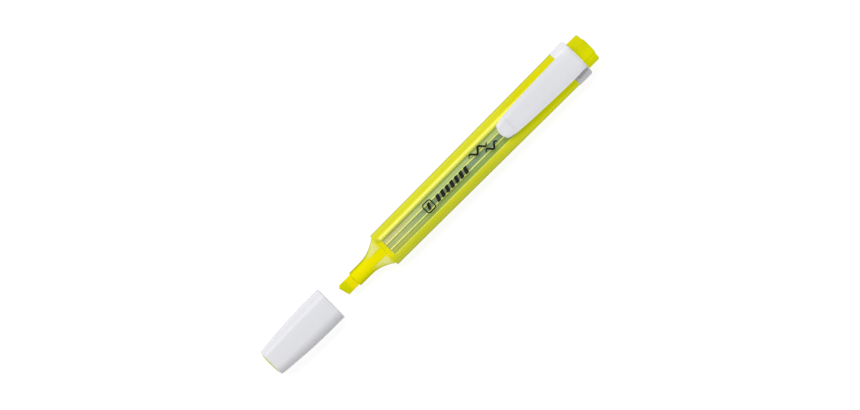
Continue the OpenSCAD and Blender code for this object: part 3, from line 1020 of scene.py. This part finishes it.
def make_clip_moulding():
    """Clip and collar as one moulding, joined at the clip's root."""
    bm = bmesh.new()
    draw_bar(bm, collar_stations(), looped=True)
    for vert in bm.verts:
        vert.co.z = max(vert.co.z, COLLAR_LOW.z)
    draw_clip_slab(bm)
    # the root, between the collar and the slab
    low = (COLLAR_X, -CLIP_ROOT_W / 2, BARREL_HIGH.z)
    high = (COLLAR_HIGH.x - 0.03 * MM, CLIP_ROOT_W / 2, CLIP_HIGH.z - CLIP_T + 0.2 * MM)
    draw_block(bm, low, high, 0.15 * MM)
    # the bead under its nose
    bead_x = CLIP_LOW.x + BEAD_IN
    turn = Matrix.Rotation(math.pi / 2, 4, "X")
    bmesh.ops.create_cone(
        bm,
        cap_ends=True,
        segments=32,
        radius1=BEAD_R,
        radius2=BEAD_R,
        depth=2 * BEAD_SHARE * clip_half_width(bead_x),
        matrix=Matrix.Translation((bead_x, 0, CLIP_LOW.z + BEAD_R)) @ turn,
    )
    made = finish_piece(
        "clip_moulding", bm, satin_white(), None, ["clip_collar", "pocket_clip"]
    )
    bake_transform(made)
    return made


# ---------------------------------------------------------------- cap


def cap_section(x, by=0.0):
    """The cap's outside section at x, narrowing towards its closed end."""
    length = CAP_HIGH.x - CAP_LOW.x - CAP_STRAIGHT
    share = max(0.0, CAP_HIGH.x - CAP_STRAIGHT - x) / length
    narrow = min(1.0, share) ** CAP_TAPER_POWER
    width = 2 * CAP_HIGH.y
    height = CAP_HIGH.z - CAP_LOW.z
    return grown(
        Station(
            x,
            width + (CAP_END_W - width) * narrow,
            height + (CAP_END_H - height) * narrow,
            CAP_MOUTH_R + (CAP_END_R - CAP_MOUTH_R) * narrow,
        ),
        by,
    )


def cap_wall(x):
    """The cap's wall is thinner at its lip."""
    lip = max(0.0, 1 - (CAP_HIGH.x - x) / CAP_LIP_DEPTH)
    return CAP_WALL - (CAP_WALL - CAP_LIP) * lip


def make_cap():
    """The cover, with a thinner lip at its mouth and a window in its end for the inner cap."""
    mouth_x, end_x = CAP_HIGH.x, CAP_LOW.x
    steps = [i / CAP_RINGS for i in range(CAP_RINGS + 1)]
    length = mouth_x - end_x - 2 * CAP_END_EASE
    curve = [mouth_x - CAP_MOUTH_EASE - length * step for step in steps]
    mouth = cap_section(mouth_x)
    end = cap_section(end_x)
    window = Station(end_x + 0.12 * MM, BUTTON_W + 2 * FIT, BUTTON_H + 2 * FIT, BUTTON_R + FIT)
    inner_x = end_x + CAP_END_WALL
    inside = [inner_x + (mouth_x - CAP_MOUTH_EASE / 2 - inner_x) * step for step in steps]
    bm = bmesh.new()
    draw_bar(
        bm,
        [
            grown(mouth, -CAP_MOUTH_EASE, mouth_x),
            grown(mouth, -0.12 * MM, mouth_x),
            *[cap_section(x) for x in curve],
            *eased_end(end, CAP_END_EASE, -1),
            grown(end, -1.0 * MM),
            window,
            window._replace(x=inner_x),
            *[cap_section(x, -cap_wall(x)) for x in inside],
        ],
        looped=True,
    )
    return finish_piece("cap_cover", bm, satin_white(), "cap", ["cap_shell"], 40)


def make_inner_cap():
    """The button in the cap's end, its flange, and the seal sleeve that closes round the neck."""
    flange_x = CAP_LOW.x + CAP_END_WALL + FIT
    sleeve_x = flange_x + FLANGE_T
    root_x = sleeve_x - OVERLAP
    button = Station(SEAL_LOW.x + 0.2 * MM, BUTTON_W, BUTTON_H, BUTTON_R)
    ease = 0.25 * MM
    bm = bmesh.new()
    draw_bar(
        bm,
        [
            *reversed(crowned(grown(button, -ease), 0.2 * MM, -1)),
            *reversed(eased_end(button, ease, -1)),
            button._replace(x=flange_x + OVERLAP),
        ],
    )
    draw_bar(
        bm,
        [
            cap_section(flange_x, -CAP_WALL - FIT),
            cap_section(sleeve_x, -CAP_WALL - FIT - 0.06 * MM),
        ],
    )
    draw_tube(bm, root_x, SEAL_HIGH.x, SEAL_BORE_R + SEAL_WALL, SEAL_BORE_R, 72)
    for side in (-1, 1):
        near_y = side * (SEAL_BORE_R + SEAL_WALL - OVERLAP)
        far_y = side * (cap_section(sleeve_x, -CAP_WALL - 0.15 * MM).width / 2)
        low = (root_x, min(near_y, far_y), AXIS_Z - SEAL_FIN_T / 2)
        high = (sleeve_x + SEAL_FIN_LEN, max(near_y, far_y), AXIS_Z + SEAL_FIN_T / 2)
        draw_block(bm, low, high, 0.12 * MM)
    return finish_piece(
        "inner_cap_seal", bm, yellow_moulding(), "cap", ["inner_cap"], 40
    )


# ---------------------------------------------------------------- printed marks

INK_T = 0.02 * MM


def raise_ink(bm, faces):
    """Gives flat printed shapes the thickness of a coat of ink."""
    made = bmesh.ops.extrude_face_region(bm, geom=faces)["geom"]
    bmesh.ops.translate(bm, verts=new_verts(made), vec=(0, 0, INK_T))


def flat_shape(bm, middle, length, width, corner, slant=0.0):
    """A flat soft-cornered shape printed on the barrel's front, leaning along the pen by its slant."""
    verts = bmesh.ops.create_grid(bm, x_segments=1, y_segments=1, size=0.5)["verts"]
    for vert in verts:
        along = middle[0] + vert.co.x * length + vert.co.y * width * slant
        vert.co = Vector((along, middle[1] + vert.co.y * width, BARREL_HIGH.z))
    before = set(bm.faces) - set(faces_of(verts))
    bevel(bm, verts, corner, 6, affect="VERTICES")
    return [face for face in bm.faces if face not in before]


def wave_shape(bm, low, length, swing, width, waves):
    """A flat wavy stroke of even thickness, with pointed ends."""
    steps = 64
    verts = bmesh.ops.create_grid(bm, x_segments=steps, y_segments=1, size=0.5)["verts"]
    turns = 2 * math.pi * waves
    for vert in verts:
        share = vert.co.x + 0.5
        body = width * max(0.0, math.sin(math.pi * share)) ** 0.3 * vert.co.y
        reach = math.copysign(max(abs(body), 0.02 * MM), body)
        slope = swing * turns / length * math.cos(turns * share)
        x = low[0] + length * share
        y = low[1] + swing * math.sin(turns * share)
        vert.co = Vector((x, y, BARREL_HIGH.z)) + Vector((-slope, 1, 0)).normalized() * reach
    return faces_of(verts)


def frame_shape(bm, middle, length, corner, stroke):
    """A flat square frame with round corners."""
    rims = []
    for inset in (0, stroke):
        side = length - 2 * inset
        faces = flat_shape(bm, middle, side, side, corner - inset)
        rims += edges_of(faces)
        bmesh.ops.delete(bm, geom=faces, context="FACES_ONLY")
    return bmesh.ops.bridge_loops(bm, edges=rims)["faces"]


def make_print():
    """A plain printed band: a framed marker stroke, a row of leaning bars and two wavy strokes."""
    bm = bmesh.new()
    start = FRONT_X + 20.2 * MM
    badge = (start + 2.1 * MM, -0.3 * MM)
    raise_ink(bm, frame_shape(bm, badge, 4.2 * MM, 1.2 * MM, 0.44 * MM))
    raise_ink(bm, flat_shape(bm, badge, 1.2 * MM, 2.4 * MM, 0.16 * MM, 0.4))
    for i in range(7):
        middle = (start + (6.5 + 2.3 * i) * MM, -0.45 * MM)
        raise_ink(bm, flat_shape(bm, middle, 1.45 * MM, 2.5 * MM, 0.2 * MM, 0.3))
    waves_x = FRONT_X + 44.1 * MM
    first, second = (waves_x, 1.55 * MM), (waves_x + 5.8 * MM, -1.2 * MM)
    raise_ink(bm, wave_shape(bm, first, 8.4 * MM, 0.85 * MM, 0.8 * MM, 2))
    raise_ink(bm, wave_shape(bm, second, 5.8 * MM, 0.8 * MM, 0.8 * MM, 1.5))
    return finish_piece("printed_marks", bm, print_ink(), "pen")


# ---------------------------------------------------------------- stage, light and camera


def make_stage():
    """A plain pale floor just under the pen."""
    bm = bmesh.new()
    bmesh.ops.create_grid(bm, x_segments=1, y_segments=1, size=1.5)
    mesh = bpy.data.meshes.new("floor")
    bm.to_mesh(mesh)
    bm.free()
    floor = bpy.data.objects.new("floor", mesh)
    floor.location.z = -0.02 * MM
    bpy.context.scene.collection.objects.link(floor)
    s = Shader("pale_floor")
    mesh.materials.append(
        s.finish(
            s.principled(
                Base_Color=(0.2, 0.2, 0.2),
                Roughness=0.9,
                Specular_IOR_Level=0.0,
                Emission_Color=(1, 1, 1),
                Emission_Strength=0.88,
            )
        )
    )


def add_softbox(name, place, size, power):
    """A rectangular light that faces the pen."""
    light = bpy.data.lights.new(name, "AREA")
    light.shape = "RECTANGLE"
    light.size, light.size_y = size
    light.energy = power
    made = bpy.data.objects.new(name, light)
    made.location = place
    made.rotation_euler = (-Vector(place)).to_track_quat("-Z", "Y").to_euler()
    bpy.context.scene.collection.objects.link(made)


def make_lights():
    """An even pale surround, and one long softbox high on the pen's upper side."""
    world = bpy.data.worlds.new("studio")
    world.use_nodes = True
    background = world.node_tree.nodes["Background"]
    background.inputs["Color"].default_value = (1, 1, 1, 1)
    background.inputs["Strength"].default_value = 0.3
    bpy.context.scene.world = world
    add_softbox("key_softbox", (0, 0.52, 1.1), (1.6, 0.42), 14.0)
    bpy.context.scene.view_settings.view_transform = "Standard"


def make_camera():
    """Straight above, and turned so that the pen lies on the frame's diagonal."""
    data = bpy.data.cameras.new("camera")
    data.sensor_width = 36
    data.lens = data.sensor_width * (CAMERA_DISTANCE - AXIS_Z) / FRAME_W
    data.clip_end = 10
    camera = bpy.data.objects.new("camera", data)
    camera.location = (0, -0.2 * MM, CAMERA_DISTANCE)
    camera.rotation_euler = (0, 0, math.radians(-45))
    bpy.context.scene.collection.objects.link(camera)
    bpy.context.scene.camera = camera


make_stage()
make_lights()
make_camera()
make_barrel()
make_ribs()
make_reservoir()
make_holder()
make_nib()
make_plug()
make_clip_moulding()
make_cap()
make_inner_cap()
make_print()
